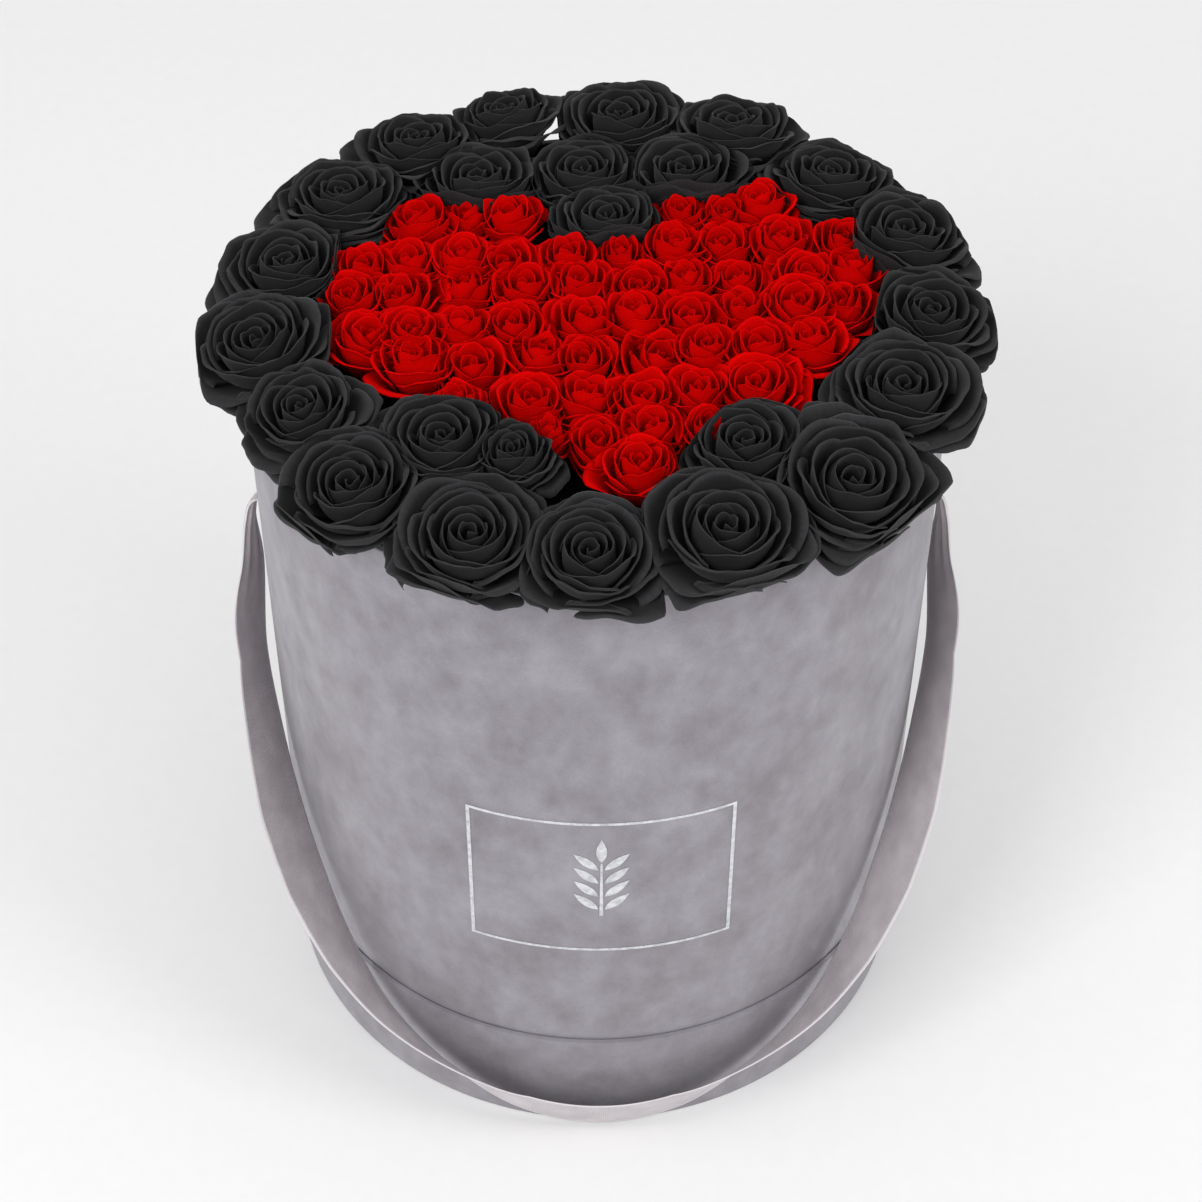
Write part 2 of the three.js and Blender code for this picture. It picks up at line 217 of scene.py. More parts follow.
# ---- Black lining ----
# Smooth black paper lines the inside of the wall, the floor and the inside of the lid, and
# faces the board of the lid's wall. A strip of it shows between the roses and the rim.
lining = Finish("black_lining", Roughness=0.6, Specular_IOR_Level=0.35)
lining_fibre = lining.noise(lining.place(), 900.0, 3.0)
lining.feed("Base Color", lining.blend(lining_fibre, colour(20, 20, 21), colour(30, 30, 32)))
lining.feed("Roughness", lining.between(lining_fibre, 0.3, 0.7, 0.5, 0.7))
lining.bump(lining_fibre, 0.2, 0.0001)
for name in ("lid_lining", "lid_band", "box_wall_lining", "box_floor_lining"):
    cover_node(name, lining)

# ---- Velour covers ----
# Lilac-grey velour with a soft nap is glued round the board and turned in over both rims.
# Brushed patches of nap show as light and dark clouds; the join runs down the back.
velour = Finish("velour", Roughness=0.95, Specular_IOR_Level=0.15, Sheen_Weight=0.35, Sheen_Roughness=0.6)
velour_place = velour.place()
brushed = velour.stretched(velour_place, (1, 1, 0.75))
nap_cloud = velour.noise(brushed, 24.0, 3.0, 0.55)
nap_patch = velour.noise(brushed, 75.0, 3.0, 0.6)
nap_grain = velour.noise(velour_place, 1500.0, 2.0, 0.6)
nap_tone = velour.between(nap_cloud * 0.42 + nap_patch * 0.36 + nap_grain * 0.22, 0.37, 0.63)
velour.feed("Base Color", velour.blend(nap_tone, colour(119, 114, 121), colour(152, 148, 156)))
velour.feed("Roughness", velour.between(nap_grain, 0.2, 0.8, 0.85, 1.0))
velour.bump(nap_grain * 0.7 + nap_patch * 0.3, 0.5, 0.0004)
for name in ("lid_disc_cover", "box_base_cover"):
    cover_node(name, velour)

velour_thickness = 0.0008
wall_segments = 192
join_width = math.radians(4)
box_turn_in, lid_turn_in = 0.0020, 0.0014
on_edge = 1e-5


def velour_sleeve(name, radius, low, high, turned_to):
    """An open sleeve of velour, turned inwards over its top edge as far as a radius."""
    deselect()
    bpy.ops.mesh.primitive_cylinder_add(vertices=wall_segments, radius=radius, depth=high - low,
                                        end_fill_type="NOTHING", location=(0, 0, (low + high) / 2))
    sleeve = started(name)
    bpy.ops.object.transform_apply(location=True)
    bpy.ops.object.mode_set(mode="EDIT")
    bpy.ops.mesh.select_all(action="DESELECT")
    bpy.ops.object.mode_set(mode="OBJECT")
    for edge in sleeve.data.edges:
        edge.select = all(sleeve.data.vertices[v].co.z > high - on_edge for v in edge.vertices)
    bpy.ops.object.mode_set(mode="EDIT")
    bpy.ops.mesh.select_mode(type="EDGE")
    bpy.ops.mesh.extrude_region_move()
    share = turned_to / radius
    bpy.ops.transform.resize(value=(share, share, 1), center_override=(0, 0, high))
    bpy.ops.mesh.select_all(action="DESELECT")
    bpy.ops.object.mode_set(mode="OBJECT")
    for edge in sleeve.data.edges:
        ends = [sleeve.data.vertices[v].co for v in edge.vertices]
        edge.select = all(e.z > high - on_edge and e.xy.length > radius - on_edge for e in ends)
    bpy.ops.object.mode_set(mode="EDIT")
    bpy.ops.mesh.bevel(offset=velour_thickness * 0.9, segments=4, profile=0.5)
    bpy.ops.mesh.select_all(action="SELECT")
    bpy.ops.mesh.normals_make_consistent(inside=False)
    bpy.ops.object.mode_set(mode="OBJECT")
    # The join down the back stands out by half a thickness.
    for vertex in sleeve.data.vertices:
        behind = abs(math.atan2(vertex.co.x, vertex.co.y))
        if behind < join_width / 2 and vertex.co.xy.length > radius - 2 * velour_thickness:
            vertex.co.xy *= 1 + 0.5 * velour_thickness / radius
    wall = sleeve.modifiers.new("thickness", "SOLIDIFY")
    wall.thickness = velour_thickness * 0.9
    wall.offset = -1
    bpy.ops.object.modifier_apply(modifier=wall.name)
    sleeve.data.materials.append(velour.material)
    return sleeve


wall_low, wall_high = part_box("box_wall_cover")
lid_low, lid_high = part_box("lid_band_cover")
band_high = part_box("lid_band")[1]
tube_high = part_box("box_tube")[1]
box_radius = wall_high.x
lid_radius = lid_high.x

box_sleeve = velour_sleeve("box_velour", box_radius, wall_low.z, wall_high.z, tube_high.x - box_turn_in)
lid_sleeve = velour_sleeve("lid_velour", lid_radius, lid_low.z, lid_high.z, band_high.x - lid_turn_in)

hole_height = (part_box("knot_left")[0].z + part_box("knot_left")[1].z) / 2
hole_radius = 0.006
deselect()
bpy.ops.mesh.primitive_cylinder_add(vertices=32, radius=hole_radius, depth=3 * box_radius,
                                    location=(0, 0, hole_height), rotation=(0, math.pi / 2, 0))
punch = started("hole_punch")
deselect()
bpy.context.view_layer.objects.active = box_sleeve
cut = box_sleeve.modifiers.new("ribbon_holes", "BOOLEAN")
cut.operation = "DIFFERENCE"
cut.solver = "EXACT"
cut.object = punch
bpy.ops.object.modifier_apply(modifier=cut.name)
bpy.data.objects.remove(punch)

for sleeve, body, node in ((box_sleeve, "box", "box_wall_cover"), (lid_sleeve, "lid", "lid_band_cover")):
    deselect()
    bpy.context.view_layer.objects.active = sleeve
    sleeve.select_set(True)
    bpy.ops.object.shade_smooth_by_angle(angle=math.radians(40))
    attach(sleeve, body)
    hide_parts(node)

# ---- Foil print ----
# Silver hot foil is pressed into the velour of the front: a thin frame line with a plain
# leaf sprig in it. It follows the wall's curve and is far thinner than the velour.
foil = Finish("silver_foil", Metallic=1.0, Roughness=0.3)
foil_place = foil.place()
foil_wrinkle = foil.noise(foil_place, 260.0, 3.0, 0.6)
foil_speck = foil.noise(foil_place, 1300.0, 2.0)
foil.feed("Base Color", foil.blend(foil.between(foil_wrinkle, 0.25, 0.6), colour(186, 187, 190),
                                   colour(232, 233, 236)))
foil.feed("Roughness", foil.between(foil_speck, 0.3, 0.7, 0.22, 0.5))
foil.bump(foil_wrinkle, 0.25, 0.0002)

foil_low, foil_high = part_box("foil_frame")
foil_line = 0.0018
foil_lift = 0.00012
foil_middle = (foil_low.z + foil_high.z) / 2


def pressed_on_wall(piece, node):
    """Wraps a flat outline in the XZ plane onto the wall and gives it the foil's thickness."""
    deselect()
    bpy.context.view_layer.objects.active = piece
    piece.select_set(True)
    bpy.ops.object.mode_set(mode="EDIT")
    bpy.ops.mesh.select_all(action="SELECT")
    bpy.ops.mesh.remove_doubles(threshold=1e-6)
    bpy.ops.object.mode_set(mode="OBJECT")
    for vertex in piece.data.vertices:
        vertex.co.y = -math.sqrt((box_radius + foil_lift) ** 2 - vertex.co.x ** 2)
    bpy.ops.object.mode_set(mode="EDIT")
    bpy.ops.mesh.normals_make_consistent(inside=False)
    bpy.ops.object.mode_set(mode="OBJECT")
    if piece.data.polygons[0].normal.y > 0:
        piece.data.flip_normals()
    skin = piece.modifiers.new("thickness", "SOLIDIFY")
    skin.thickness = foil_lift
    skin.offset = 1
    bpy.ops.object.modifier_apply(modifier=skin.name)
    bpy.ops.object.shade_smooth_by_angle(angle=math.radians(40))
    piece.data.materials.append(foil.material)
    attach(piece, "box")
    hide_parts(node)


def foil_mesh(name, points, faces):
    mesh = bpy.data.meshes.new(name)
    mesh.from_pydata([(x, 0, z) for x, z in points], [], faces)
    piece = bpy.data.objects.new(name, mesh)
    bpy.context.collection.objects.link(piece)
    return piece


def frame_loop(inset, steps):
    """Points once round the frame, evenly along each side, moved in by an inset."""
    half_x, half_z = foil_high.x - inset, foil_high.z - foil_middle - inset
    corners = [(-half_x, -half_z), (half_x, -half_z), (half_x, half_z), (-half_x, half_z)]
    points = []
    for (x0, z0), (x1, z1) in zip(corners, corners[1:] + corners[:1]):
        for step in range(steps):
            share = step / steps
            points.append((x0 + (x1 - x0) * share, foil_middle + z0 + (z1 - z0) * share))
    return points


steps_a_side = 24
outer_loop = frame_loop(0, steps_a_side)
inner_loop = frame_loop(foil_line, steps_a_side)
count = len(outer_loop)
frame_faces = [(i, (i + 1) % count, count + (i + 1) % count, count + i) for i in range(count)]
pressed_on_wall(foil_mesh("foil_frame_line", outer_loop + inner_loop, frame_faces), "foil_frame")

sprig_low, sprig_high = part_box("foil_sprig")
sprig_height = sprig_high.z - sprig_low.z
leaf_length = sprig_height * 0.31
leaf_pairs = 4
leaf_steps, stalk_steps = 10, 8
leaf_tilts = (45, 135)
stalk_top = sprig_high.z - leaf_length
sprig_points, sprig_faces = [], []


def add_leaf(foot_x, foot_z, length, tilt):
    """A slim leaf as a strip of quads either side of its midrib."""
    first = len(sprig_points)
    along = Vector((math.cos(tilt), math.sin(tilt)))
    across = Vector((-along.y, along.x))
    for step in range(leaf_steps + 1):
        share = step / leaf_steps
        half = 0.15 * length * math.sin(math.pi * share ** 0.85) + 0.00002
        for side in (-1, 0, 1):
            spot = Vector((foot_x, foot_z)) + along * share * length + across * side * half
            sprig_points.append((spot.x, spot.y))
    for step in range(leaf_steps):
        corner = first + 3 * step
        sprig_faces.append((corner, corner + 3, corner + 4, corner + 1))
        sprig_faces.append((corner + 1, corner + 4, corner + 5, corner + 2))


for pair in range(leaf_pairs):
    foot = sprig_low.z + (stalk_top - sprig_low.z) * (pair + 0.5) / leaf_pairs
    for tilt in leaf_tilts:
        add_leaf(foil_line * (0.9 if tilt < 90 else -0.9), foot, leaf_length * 0.92, math.radians(tilt))
add_leaf(0, stalk_top + 0.0006, leaf_length - 0.0008, math.pi / 2)
stalk = len(sprig_points)
for step in range(stalk_steps + 1):
    height = sprig_low.z + (stalk_top - sprig_low.z) * step / stalk_steps
    half = foil_line * (0.55 - 0.25 * step / stalk_steps)
    sprig_points += [(-half, height), (half, height)]
sprig_faces += [
    (stalk + 2 * s, stalk + 2 * s + 1, stalk + 2 * s + 3, stalk + 2 * s + 2) for s in range(stalk_steps)
]
pressed_on_wall(foil_mesh("foil_leaf_sprig", sprig_points, sprig_faces), "foil_sprig")

# ---- Ribbon handle ----
# A woven grey-pink grosgrain ribbon goes through a hole in each side of the wall and is knotted
# inside. It is bunched in the holes, opens on the way down and hangs free round the front.
ribbon_width = 0.038
ribbon_thickness = 0.0006
gathered_width = 0.008
gather_length = 0.075
fold_depth, edge_cup = 0.0016, 0.0007
folds_across = 5
hole_rise = 0.02  # keeps the outward direction defined where the ribbon runs straight out
rib_pitch, threads_across = 0.0011, 60
# Angle from the front in degrees, distance off the wall, share of the hole's height, lean in degrees.
ribbon_stops = [
    (90, -0.0043, 1, 20),
    (90, 0.003, 1, 20),
    (90.2, 0.006, 0.957, 22),
    (89.3, 0.0045, 0.865, 23),
    (82.3, 0.0059, 0.729, 22),
    (74.2, 0.0048, 0.618, 35),
    (65.5, 0.0052, 0.509, 48),
    (56.9, 0.0063, 0.402, 53),
    (48.1, 0.008, 0.295, 49),
    (38.6, 0.0092, 0.196, 40),
    (27.3, 0.0084, 0.114, 32),
    (14.4, 0.0085, 0.049, 23),
    (0, 0.0082, 0.024, 22),
]


def ribbon_point(stop, side):
    degrees, off_wall, share, _ = stop
    angle, reach = math.radians(degrees) * side, box_radius + off_wall
    return np.array((reach * math.sin(angle), -reach * math.cos(angle), hole_height * share))


both_sides = [(stop, -1) for stop in ribbon_stops] + [(stop, 1) for stop in ribbon_stops[-2::-1]]
route = [ribbon_point(stop, side) for stop, side in both_sides]
leans = [math.radians(stop[3]) for stop, _ in both_sides]


def on_route(position):
    """The point of a centripetal Catmull-Rom curve through the stops, at a stop number with a fraction."""
    index = min(int(position), len(route) - 2)
    share = position - index
    b, c = route[index], route[index + 1]
    a = route[index - 1] if index > 0 else 2 * b - c
    d = route[index + 2] if index + 2 < len(route) else 2 * c - b
    ab, bc, cd = (np.linalg.norm(q - p) ** 0.5 for p, q in ((a, b), (b, c), (c, d)))
    leave = ((b - a) / ab - (c - a) / (ab + bc) + (c - b) / bc) * bc
    arrive = ((c - b) / bc - (d - b) / (bc + cd) + (d - c) / cd) * bc
    s2, s3 = share ** 2, share ** 3
    return (b * (2 * s3 - 3 * s2 + 1) + leave * (s3 - 2 * s2 + share)
            + c * (3 * s2 - 2 * s3) + arrive * (s3 - s2))


def smooth(value, low, high):
    share = np.clip((value - low) / (high - low), 0, 1)
    return share * share * (3 - 2 * share)


ribbon_rows, ribbon_columns = 384, 16
ribbon_points, ribbon_uv = [], []
ribbon_run = 0.0
last_stop = len(route) - 1
previous = None
for row in range(ribbon_rows + 1):
    position = last_stop * row / ribbon_rows
    middle = on_route(position)
    ahead = on_route(min(position + 0.01, last_stop))
    behind = on_route(max(position - 0.01, 0))
    tangent = (ahead - behind) / np.linalg.norm(ahead - behind)
    lean = np.interp(position, range(len(leans)), leans)
    outward = np.array((middle[0], middle[1], 0)) / math.hypot(middle[0], middle[1])
    outward[2] = hole_rise
    outward -= tangent * outward.dot(tangent)
    outward /= np.linalg.norm(outward)
    across = np.cross(outward, tangent) * math.cos(lean) + outward * math.sin(lean)
    facing = np.cross(tangent, across)
    from_hole = min(np.linalg.norm(middle - route[0]), np.linalg.norm(middle - route[-1]))
    width = gathered_width + (ribbon_width - gathered_width) * smooth(from_hole, 0, gather_length)
    fold = fold_depth * (1 - smooth(from_hole, 0.004, 0.075)) * smooth(from_hole, 0, 0.012)
    if previous is not None:
        ribbon_run += np.linalg.norm(middle - previous)
    previous = middle
    for column in range(ribbon_columns + 1):
        share = column / ribbon_columns
        cup = edge_cup * (4 * (share - 0.5) ** 2) * smooth(from_hole, 0.03, 0.12)
        ripple = fold * math.sin(share * folds_across * math.pi) + cup
        point = middle + across * (share * width - gathered_width / 2) + facing * ripple
        ribbon_points.append(point)
        ribbon_uv.append((share, ribbon_run))
stride = ribbon_columns + 1
ribbon_faces = [
    (r * stride + c, r * stride + c + 1, (r + 1) * stride + c + 1, (r + 1) * stride + c)
    for r in range(ribbon_rows) for c in range(ribbon_columns)
]


def sheet_object(name, points, faces, uv, thickness):
    """A sheet from a grid of points, with its UV map in metres, made solid."""
    mesh = bpy.data.meshes.new(name)
    mesh.from_pydata([tuple(p) for p in points], [], faces)
    layer = mesh.uv_layers.new(name="cloth")
    loops = np.zeros(len(mesh.loops), np.int32)
    mesh.loops.foreach_get("vertex_index", loops)
    layer.data.foreach_set("uv", np.array(uv, np.float32)[loops].ravel())
    piece = bpy.data.objects.new(name, mesh)
    bpy.context.collection.objects.link(piece)
    deselect()
    bpy.context.view_layer.objects.active = piece
    piece.select_set(True)
    bpy.ops.object.shade_smooth()
    body = piece.modifiers.new("thickness", "SOLIDIFY")
    body.thickness = thickness
    body.offset = 0.0
    bpy.ops.object.modifier_apply(modifier=body.name)
    return piece


grosgrain = Finish("grosgrain_ribbon", Roughness=0.55, Specular_IOR_Level=0.35, Sheen_Weight=0.2)
ribbon_map = grosgrain.add("ShaderNodeUVMap", {"uv_map": "cloth"}, {})
ribbon_across = grosgrain.part(ribbon_map, "X")
ribbon_along = grosgrain.part(ribbon_map, "Y")
rib_turn = ribbon_along * (2 * math.pi / rib_pitch)
thread_turn = ribbon_across * (2 * math.pi * threads_across)
ribs = grosgrain.add("ShaderNodeMath", {"operation": "SINE"}, {0: rib_turn})
threads = grosgrain.add("ShaderNodeMath", {"operation": "SINE"}, {0: thread_turn})
# The paler colour along both edges is a painted highlight where the ribbon's edge catches the light; the
# raised selvedge is in the bump.
selvedge_and_edge_highlight = (ribbon_across < 0.045) + (ribbon_across > 0.955)
wear = grosgrain.noise(grosgrain.place(), 60.0, 3.0)
ribbon_tone = grosgrain.between(wear * 0.7 + ribs * 0.1 + threads * 0.05, 0.2, 0.6)
ribbon_colour = grosgrain.blend(ribbon_tone, colour(180, 173, 177), colour(212, 205, 209))
grosgrain.feed("Base Color", grosgrain.blend(selvedge_and_edge_highlight * 0.6, ribbon_colour, colour(242, 236, 240)))
grosgrain.feed("Roughness", grosgrain.between(ribs, -1, 1, 0.48, 0.62))
grosgrain.bump(ribs * 0.6 + threads * 0.2 + selvedge_and_edge_highlight * 0.8, 0.4, 0.0002)

ribbon = sheet_object("ribbon_band", ribbon_points, ribbon_faces, ribbon_uv, ribbon_thickness)
ribbon.data.materials.append(grosgrain.material)
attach(ribbon, "handle")
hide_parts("ribbon")

for side in ("left", "right"):
    low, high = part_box(f"knot_{side}")
    middle, reach = (low + high) / 2, (high.z - low.z) / 2
    deselect()
    wraps = []
    for turn in range(3):
        bpy.ops.mesh.primitive_torus_add(
            major_radius=reach * 0.55, minor_radius=reach * 0.36, major_segments=32, minor_segments=14,
            location=middle, rotation=(math.radians(60 * turn), math.radians(55 * turn + 20), 0))
        wraps.append(bpy.context.object)
    for wrap in wraps:
        wrap.select_set(True)
    bpy.context.view_layer.objects.active = wraps[0]
    bpy.ops.object.join()
    knot = started(f"ribbon_knot_{side}")
    bpy.ops.object.transform_apply(location=True, rotation=True, scale=True)
    bpy.ops.object.shade_smooth()
    knot.data.uv_layers[0].name = "cloth"
    knot.data.materials.append(grosgrain.material)
    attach(knot, "handle")
    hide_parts(f"knot_{side}")

# ---- Flower foam ----
# Dry foam holds the stems. It stands on the false floor, about 4 cm down from the rim.
# It is coloured near-black as painted shade, so it shows only as darkness between the heads.
foam = Finish("flower_foam", Roughness=1.0, Specular_IOR_Level=0.1)
foam_cells = foam.add("ShaderNodeTexVoronoi", {}, {"Vector": foam.place(), "Scale": 700.0})
# Painted shade: the foam's near-black colour keeps the gaps between the heads dark.
foam.feed("Base Color", foam.blend(foam_cells, colour(12, 12, 13), colour(34, 34, 36)))
foam.bump(foam_cells, 0.8, 0.0005)
cover_node("flower_foam", foam)

# ---- Rose heads ----
# Each is a preserved rose: a tight off-centre whorl, then petals that open outwards in
# overlapping layers, their edges rolled over. The stem is pushed in the foam.
foam_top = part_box("flower_foam")[1].z
stem_depth = 0.015
stem_radius, stem_above_foam = 0.002, 0.001
calyx_steps = ((0.003, 2.2), (0.004, 1.5), (0.004, 1.15))  # each a rise and how much wider it gets
golden_angle = math.radians(137.5)
usual_radius = 0.033
# How far a bloom reaches past the plane that it shares with a neighbour, and how far it rises there.
black_overlap, red_overlap, mixed_overlap = 0.0026, 0.0045, 0.0010
pushed_up = 0.3
free_share = 0.78


def petal_grid(rng, heading, wrap, foot, control, brim, lip, curl, tuck, ruffle, across, along):
    """The points of one petal: profiles from the foot to a rolled lip, fanned about the bloom's axis."""
    u = np.linspace(-1, 1, across + 1)[None, :]
    rise = np.linspace(0, 1, along + 1)[:, None]
    waves = rng.uniform(0, 2 * np.pi, 3)
    torn = sum(np.sin(k * u + rng.uniform(0, 2 * np.pi)) / k for k in (5, 9, 14, 23, 31))
    tip = rng.uniform(-0.3, 0.3)
    point = 0.07 * np.exp(-((u - tip) / 0.2) ** 2)
    reach = 1 - 0.26 * np.abs(u) ** 2.6 + ruffle * (0.14 * torn - 0.05 + point)
    reach = np.minimum(reach, 1.08)
    t = rise * reach
    radius = (1 - t) ** 2 * foot[0] + 2 * t * (1 - t) * control[0] + t ** 2 * brim[0]
    height = (1 - t) ** 2 * foot[1] + 2 * t * (1 - t) * control[1] + t ** 2 * brim[1]
    slope_r = 2 * (1 - reach) * (control[0] - foot[0]) + 2 * reach * (brim[0] - control[0])
    slope_z = 2 * (1 - reach) * (control[1] - foot[1]) + 2 * reach * (brim[1] - control[1])
    lean = np.arctan2(slope_z, slope_r)
    rows = max(3, along // 2)
    step = lip * (0.75 + 0.5 * np.abs(u) + 0.35 * ruffle * np.sin(3 * u + waves[1])) / rows
    bend = curl * (0.8 + 0.35 * np.abs(u) + 0.25 * ruffle * np.sin(2 * u + waves[2]))
    radii, heights, shares = [radius], [height], [rise * 0.8 + 0 * u]
    edge_r, edge_z = radius[-1:], height[-1:]
    for row in range(1, rows + 1):
        angle = lean - bend * (row - 0.5) / rows
        edge_r = edge_r + step * np.cos(angle)
        edge_z = edge_z + step * np.sin(angle)
        radii.append(edge_r)
        heights.append(edge_z)
        shares.append(np.full_like(u, 0.8 + 0.2 * row / rows))
    radius, height, v = np.vstack(radii), np.vstack(heights), np.vstack(shares)
    size = brim[0]
    radius = radius + tuck * u * v + ruffle * size * v ** 2 * (
        0.035 * np.sin(3.4 * u + waves[1]) + 0.012 * np.sin(11 * u + waves[0])
        + 0.006 * np.sin(23 * u + waves[2]))
    height = height + ruffle * size * v ** 2.5 * (
        0.045 * np.sin(4.6 * u + waves[2]) + 0.016 * np.sin(13 * u + waves[1]))
    angle = heading + wrap * u * (0.6 + 0.4 * np.sqrt(v))
    return np.stack((radius * np.cos(angle), radius * np.sin(angle), height), -1), u + 0 * v, v


def bloom(name, finish, radius, height, buds, petals, fall, spread, thickness, across, along, seed):
    """A whole rose head about the Z axis, its foot at zero height, with calyx and stem."""
    rng = np.random.default_rng(seed)
    points, faces, uv = [], [], []
    heading = rng.uniform(0, 2 * np.pi)
    for index in range(buds + petals):
        heading += golden_angle + rng.normal(0, 0.26)
        if index < buds:
            share = index / (buds - 1)
            brim = (radius * (0.045 + 0.29 * share), height * (0.90 + 0.09 * share))
            control = (brim[0] * 1.25 + 0.001, height * 0.5)
            foot = (radius * (0.02 + 0.12 * share), height * 0.30)
            wrap, lip, curl = math.radians(118 - 22 * share), 0.0006 + 0.0008 * share, 0.6 + 0.3 * share
            ruffle = 0.30
        else:
            share = (index - buds) / (petals - 1)
            brim = (radius * (0.38 + spread * share), height * (1.0 - fall * share ** 1.6))
            control = (brim[0] * (1.08 - 0.40 * share), height * (0.45 + 0.18 * share))
            foot = (radius * (0.14 + 0.14 * share), height * (0.26 - 0.12 * share))
            wrap, lip, curl = math.radians(88 - 30 * share), 0.0014 + 0.0026 * share, 1.1 + 1.0 * share
            ruffle = 0.45 + 0.85 * share
        scale = rng.uniform(0.93, 1.07)
        brim = (brim[0] * scale, brim[1] * rng.uniform(0.975, 1.015))
        grid, across_share, along_share = petal_grid(
            rng, heading, wrap * rng.uniform(0.9, 1.1), foot, control, brim, lip * radius / usual_radius,
            curl, radius * 0.045, ruffle, across, along)
        first, columns = len(points), grid.shape[1]
        points.extend(grid.reshape(-1, 3))
        uv.extend(np.stack((across_share * 0.5 + 0.5, along_share), -1).reshape(-1, 2))
        for row in range(grid.shape[0] - 1):
            for column in range(columns - 1):
                corner = first + row * columns + column
                faces.append((corner, corner + 1, corner + columns + 1, corner + columns))
    head = sheet_object(name, points, faces, uv, thickness)
    deselect()
    bpy.ops.mesh.primitive_cylinder_add(vertices=12, radius=stem_radius, depth=stem_depth + stem_above_foam,
                                        location=(0, 0, (stem_above_foam - stem_depth) / 2))
    stem = bpy.context.object
    bpy.ops.object.transform_apply(location=True)
    for polygon in stem.data.polygons:
        polygon.select = polygon.normal.z > 0.9
    bpy.ops.object.mode_set(mode="EDIT")
    for up, wider in calyx_steps:
        bpy.ops.mesh.extrude_region_move(TRANSFORM_OT_translate={"value": (0, 0, up)})
        bpy.ops.transform.resize(value=(wider, wider, 1), center_override=(0, 0, 0))
    bpy.ops.object.mode_set(mode="OBJECT")
    bpy.ops.object.shade_smooth_by_angle(angle=math.radians(50))
    stem.data.uv_layers[0].name = "cloth"
    for loop in stem.data.uv_layers[0].data:
        loop.uv = (0.5, 0.0)
    head.select_set(True)
    bpy.context.view_layer.objects.active = head
    bpy.ops.object.join()
    head.data.materials.append(finish.material)
    return head


def petal_finish(name, shade, body_colour, edge_highlight_colour, sheen, gloss):
    """Matt petals: painted shade darkens the foot, a painted highlight makes the rolled edge paler, with
    fine veins along each petal.
    """
    petal = Finish(name, Roughness=0.85, Specular_IOR_Level=gloss, Sheen_Weight=sheen, Sheen_Roughness=0.5)
    petal_map = petal.add("ShaderNodeUVMap", {"uv_map": "cloth"}, {})
    along = petal.part(petal_map, "Y")
    veins = petal.noise(petal.stretched(petal_map, (46, 3.5, 1)), 1.0, 3.0, 0.6)
    blotch = petal.noise(petal.place(), 110.0, 3.0)
    # Painted shade: towards each petal's foot, where the petals close in, the colour darkens from the body
    # colour to the shade colour.
    body = petal.blend(petal.between(along, 0.15, 0.62), shade, body_colour)
    # Painted highlight: the rolled lip is painted paler than the body, as if it were catching the light.
    highlighted_edge = petal.blend(petal.between(along, 0.72, 0.97), body, edge_highlight_colour)
    veined = petal.blend(petal.between(veins * 0.5 + blotch * 0.5, 0.35, 0.7, 0.0, 0.28), highlighted_edge, shade)
    petal.feed("Base Color", petal.blend(petal.between(along, 0.0, 0.03), colour(20, 26, 16), veined))
    petal.feed("Roughness", petal.between(veins, 0.3, 0.7, 0.75, 0.95))
    petal.bump(veins * 0.6 + blotch * 0.4, 0.35, 0.0005)
    return petal


# For each finish: painted shade at the foot, the body colour, then a paler painted highlight on the rolled
# edge.
black_petals = petal_finish("black_petals", colour(8, 8, 9), colour(33, 33, 34), colour(52, 52, 54),
                            sheen=0.08, gloss=0.16)
red_petals = petal_finish("red_petals", colour(140, 0, 0), colour(212, 0, 0), colour(220, 0, 0),
                          sheen=0.0, gloss=0.04)

black_radius, black_height = 0.0330, 0.0375
red_radius, red_height = 0.0170, 0.0365
black_kinds, red_kinds, first_red_seed = 5, 6, 20
petal_thickness = 0.0003
black_patterns = [
    bloom(f"black_pattern_{seed}", black_petals, black_radius, black_height, buds=9, petals=17, fall=0.42,
          spread=0.66, thickness=petal_thickness, across=32, along=9, seed=seed)
    for seed in range(black_kinds)
]
red_patterns = [
    bloom(f"red_pattern_{seed}", red_petals, red_radius, red_height, buds=5, petals=12, fall=0.36,
          spread=0.80, thickness=petal_thickness, across=16, along=6, seed=first_red_seed + seed)
    for seed in range(red_kinds)
]


stems_apart = 0.008  # no two stems stand nearer than this


def stem_feet(node):
    """The axis of each rose in a node, found from the lowest points of its stems, and its radius."""
    spots = np.array([v.co for v in nodes[node].data.vertices])
    feet = []
    for spot in spots[spots[:, 2] < spots[:, 2].min() + 1e-4]:
        if not any(np.linalg.norm(spot[:2] - near[0][:2]) < stems_apart for near in feet):
            feet.append([spot])
        else:
            min(feet, key=lambda near: np.linalg.norm(spot[:2] - near[0][:2])).append(spot)
    middles = [np.mean(np.unique(np.round(foot, 5), axis=0)[:, :2], axis=0) for foot in feet]
    heads = spots[spots[:, 2] > foam_top]
    nearest = [int(np.argmin([np.linalg.norm(s[:2] - m) for m in middles])) for s in heads]
    return [
        (m, max(np.linalg.norm(s[:2] - m) for s, n in zip(heads, nearest) if n == i))
        for i, m in enumerate(middles)
    ]


# Soft blooms are wider than their CAD solids by these factors, and neighbours press them back.
red_widths = (1.05, 1.42)
ring_width, inner_width = 1.24, 1.60
# A bloom is at most this many times as wide as its nearest shared plane is far.
red_squeeze, black_squeeze = 1.42, 2.3
# Petals stay this near the box's axis, clear of the ribbon as it swings up.
furthest_reach = 0.1905
ring_lean, inner_lean = 0.16, 0.03
red_sway, black_sway = 0.10, 0.06
red_rise, black_rise = (-0.004, 0.001), (-0.003, 0.001)

placing = np.random.default_rng(7)
rose_nodes = sorted(n for n in nodes if n.startswith(("black_rose", "red_roses")))
roses = []
for node in rose_nodes:
    for middle, radius in stem_feet(node):
        if node.startswith("red"):
            radius *= placing.uniform(*red_widths)
        else:
            radius *= ring_width if node.startswith("black_rose_ring") else inner_width
        roses.append((node, middle, radius))


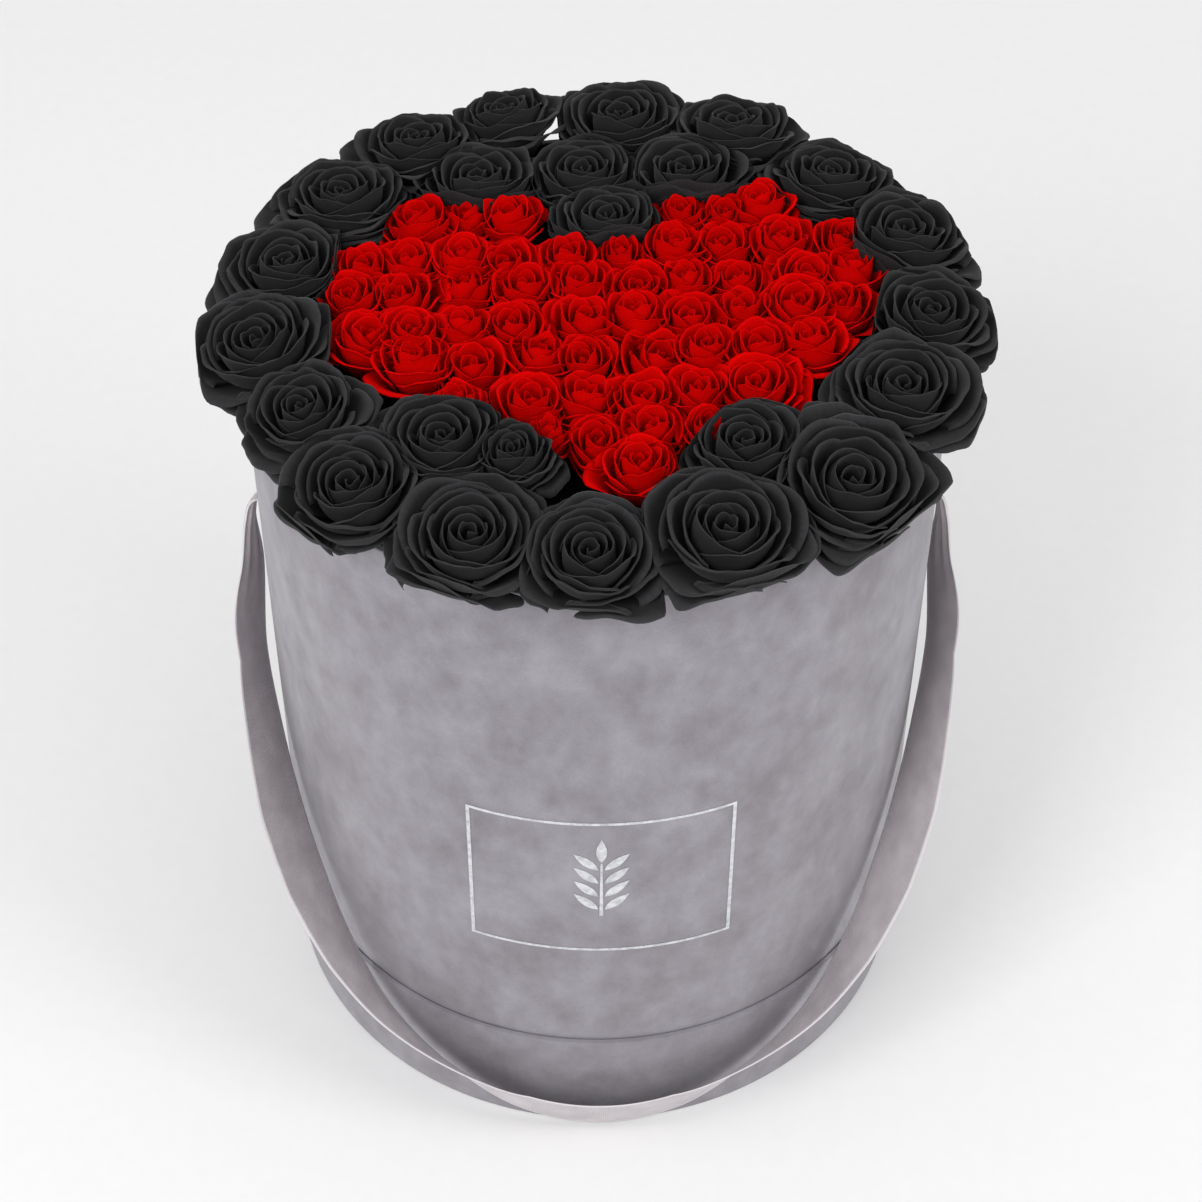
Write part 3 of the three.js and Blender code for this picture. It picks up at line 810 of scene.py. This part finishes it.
def placed_bloom(pattern, pattern_radius, place, radius, turn, lean, rise, neighbours, name):
    """A copy of a pattern bloom at a stem, turned, leaning outwards and pressed by its neighbours."""
    mesh = pattern.data.copy()
    points = np.zeros(len(mesh.vertices) * 3)
    mesh.vertices.foreach_get("co", points)
    points = points.reshape(-1, 3)
    scale = radius / pattern_radius
    x = (points[:, 0] * math.cos(turn) - points[:, 1] * math.sin(turn)) * scale
    y = (points[:, 0] * math.sin(turn) + points[:, 1] * math.cos(turn)) * scale
    z = points[:, 2].copy()
    head_share = smooth(z, 0.002, 0.014)
    away = np.array(lean)
    tilt = np.linalg.norm(away)
    if tilt > 0:
        away = away / tilt
        out = x * away[0] + y * away[1]
        moved = out * np.cos(tilt) + z * np.sin(tilt)
        lifted = z * np.cos(tilt) - out * np.sin(tilt)
        x += head_share * (moved - out) * away[0]
        y += head_share * (moved - out) * away[1]
        z += head_share * (lifted - z)
    for direction, distance in neighbours:
        free = free_share * distance
        along = x * direction[0] + y * direction[1]
        room = distance - free
        pressed = np.where(along > free, free + room * np.tanh((along - free) / room), along)
        x += head_share * (pressed - along) * direction[0]
        y += head_share * (pressed - along) * direction[1]
        z += head_share * pushed_up * (along - pressed)
    points = np.stack((x + place[0], y + place[1], z + foam_top + head_share * rise), -1)
    mesh.vertices.foreach_set("co", points.ravel())
    mesh.update()
    piece = bpy.data.objects.new(name, mesh)
    bpy.context.collection.objects.link(piece)
    return piece


for node in rose_nodes:
    red = node.startswith("red")
    heads = []
    for number, (_, place, radius) in enumerate(r for r in roses if r[0] == node):
        neighbours = []
        for other_node, other, other_radius in roses:
            gap = np.linalg.norm(other - place)
            if 1e-6 < gap < radius + other_radius:
                overlap = red_overlap if red else black_overlap
                if other_node.startswith("red") != red:
                    overlap = mixed_overlap
                shared = gap * radius / (radius + other_radius) + overlap
                neighbours.append(((other - place) / gap, shared))
        squeeze = red_squeeze if red else black_squeeze
        radius = min([radius] + [squeeze * shared for _, shared in neighbours])
        from_axis = np.linalg.norm(place)
        outward = place / max(from_axis, 1e-6)
        neighbours.append((outward, furthest_reach - from_axis))
        lean = outward * (ring_lean if node.startswith("black_rose_ring") else inner_lean)
        lean = lean + placing.normal(0, red_sway if red else black_sway, 2)
        pattern = placing.integers(len(red_patterns if red else black_patterns))
        turn = placing.uniform(0, 2 * np.pi)
        rise = placing.uniform(*(red_rise if red else black_rise))
        source = (red_patterns if red else black_patterns)[pattern]
        heads.append(placed_bloom(source, red_radius if red else black_radius, place, radius, turn, lean,
                                  rise, neighbours, f"{node}_head_{number}"))
    deselect()
    for head in heads:
        head.select_set(True)
    bpy.context.view_layer.objects.active = heads[0]
    if len(heads) > 1:
        bpy.ops.object.join()
    blooms = started(f"{node}_petals")
    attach(blooms, "box")
    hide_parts(node)
for pattern in black_patterns + red_patterns:
    bpy.data.objects.remove(pattern)
